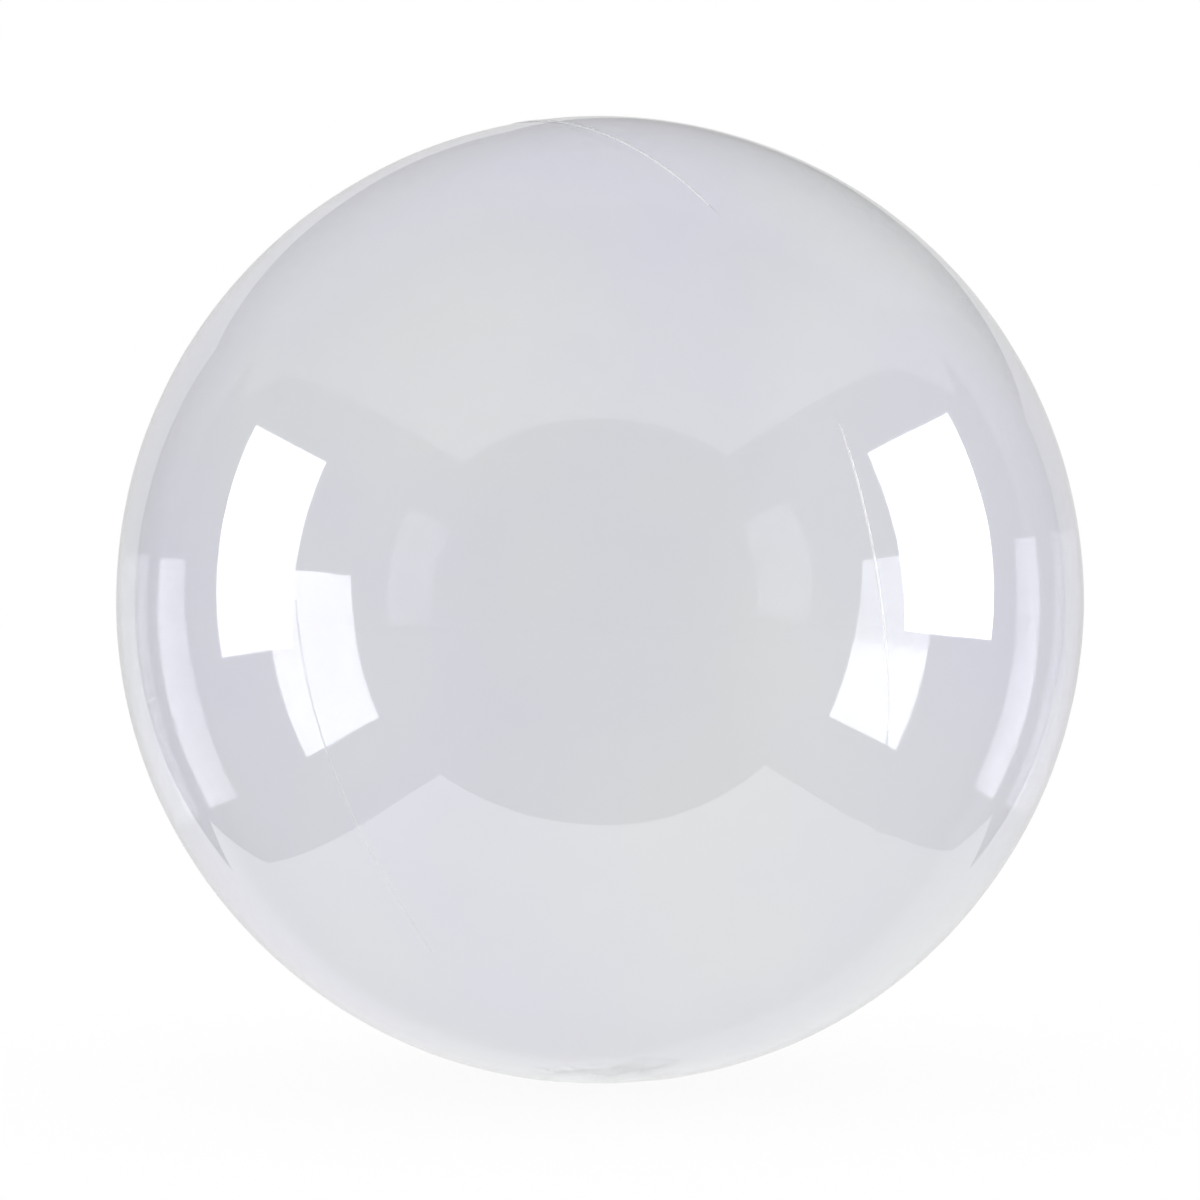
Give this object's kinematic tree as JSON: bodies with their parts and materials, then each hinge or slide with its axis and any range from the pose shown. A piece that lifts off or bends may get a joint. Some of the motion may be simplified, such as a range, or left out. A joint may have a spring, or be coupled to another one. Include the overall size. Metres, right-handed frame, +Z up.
{
  "type": "clear bubble balloon",
  "caption": "Round clear film balloon, blown up tight, with a fine weld seam, a gathered neck and a flat filling tail; it rests on a small flat spot.",
  "frame": {"origin": "centre of the flat spot that the balloon rests on, straight below the ball's centre", "axes": "+Z up through the ball's centre from its neck; +Y away from the side that faces the viewer; the tail runs out on the floor towards +Y and a little +X"},
  "size_m": [0.46, 0.46, 0.4585],
  "materials": {
    "clear_film": "clear stretch film, high gloss, see-through"
  },
  "bodies": {
    "root": {"film_bubble": "clear_film"}
  },
  "joints": []
}
